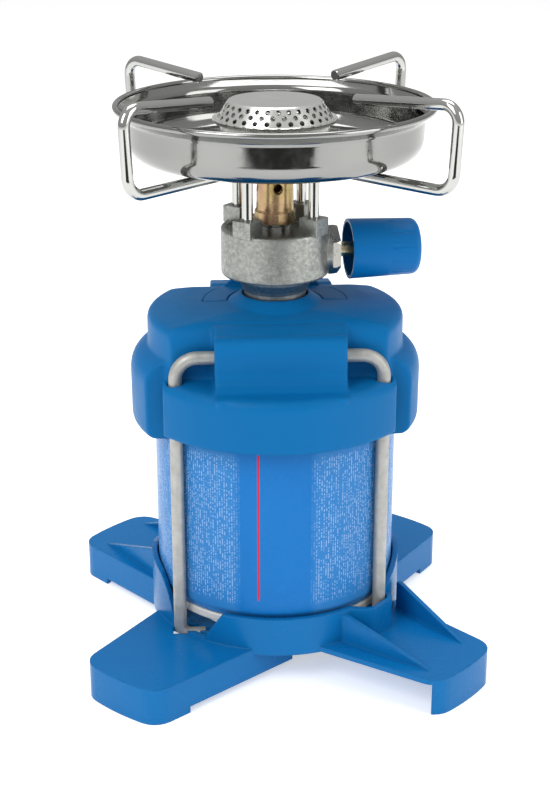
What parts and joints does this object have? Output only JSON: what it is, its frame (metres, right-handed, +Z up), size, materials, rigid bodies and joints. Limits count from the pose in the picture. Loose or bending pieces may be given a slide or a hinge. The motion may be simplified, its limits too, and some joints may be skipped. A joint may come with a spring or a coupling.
{
  "type": "camping stove",
  "caption": "Single-burner camping stove: screw-down valve head with dish-shaped windshield and wire pan supports, clamped by wire stirrups on a pierceable gas cartridge in a four-legged foot.",
  "frame": {"origin": "on the floor, on the axis of the cartridge", "axes": "+Z up, the front is towards -Y, the control knob points to +X, turned 6.5 degrees towards +Y"},
  "size_m": [0.1506, 0.1464, 0.2154],
  "materials": {
    "base_plastic": "glossy moulded",
    "cap_plastic": "satin moulded",
    "knob_plastic": "satin moulded",
    "galvanised_wire": "dull zinc coated",
    "cartridge_paint": "glossy printed lacquer",
    "seam_lacquer": "pale lacquer",
    "seal_rubber": "matt",
    "die_cast_zinc": "tumbled die-casting",
    "machined_steel": "turned",
    "turned_brass": "turned",
    "yellow_plating": "yellow passivated",
    "bright_plating": "bright nickel plated",
    "bright_wire": "bright plated wire"
  },
  "bodies": {
    "stand": {"foot_base": "base_plastic", "front_stirrup": "galvanised_wire", "rear_stirrup": "galvanised_wire", "top_cap": "cap_plastic", "rear_latch": "cap_plastic", "threaded_insert": "turned_brass", "cartridge_shell": "cartridge_paint", "cartridge_base": "seam_lacquer"},
    "lift_carrier": {"nose_gasket": "seal_rubber"},
    "head": {"valve_body": "die_cast_zinc", "piercing_needle": "machined_steel", "gas_filter": "turned_brass", "jet_holder": "machined_steel", "injector_jet": "turned_brass", "burner_tube": "yellow_plating", "dish_washer": "machined_steel", "dish": "bright_plating", "burner_base": "bright_plating", "burner_gauze": "machined_steel", "burner_cap": "bright_plating", "pan_support_1": "bright_wire", "pan_support_2": "bright_wire", "pan_support_3": "bright_wire", "pan_support_4": "bright_wire", "gland_nut": "machined_steel"},
    "spindle_carrier": {"spindle_o_ring": "seal_rubber"},
    "knob": {"valve_spindle": "turned_brass", "control_knob": "knob_plastic", "knob_screw": "machined_steel"}
  },
  "joints": [
    {"name": "head_lift", "type": "slide", "parent": "stand", "child": "lift_carrier", "axis": [0, 0, 1], "range_m": [0, 0.007]},
    {"name": "head_turn", "type": "hinge", "parent": "lift_carrier", "child": "head", "pos_m": [0, 0, 0.13], "axis": [0, 0, 1], "range_deg": [0, 1440]},
    {"name": "spindle_travel", "type": "slide", "parent": "head", "child": "spindle_carrier", "axis": [0.9936, 0.1132, 0], "range_m": [0, 0.0015]},
    {"name": "knob_turn", "type": "hinge", "parent": "spindle_carrier", "child": "knob", "pos_m": [0, 0, 0.1514], "axis": [0.9936, 0.1132, 0], "range_deg": [0, 540]}
  ],
  "couplings": [
    {"joint": "head_lift", "follows": "head_turn", "m_per_rad": 0.00027852},
    {"joint": "knob_turn", "follows": "spindle_travel", "rad_per_m": 6283.2}
  ]
}
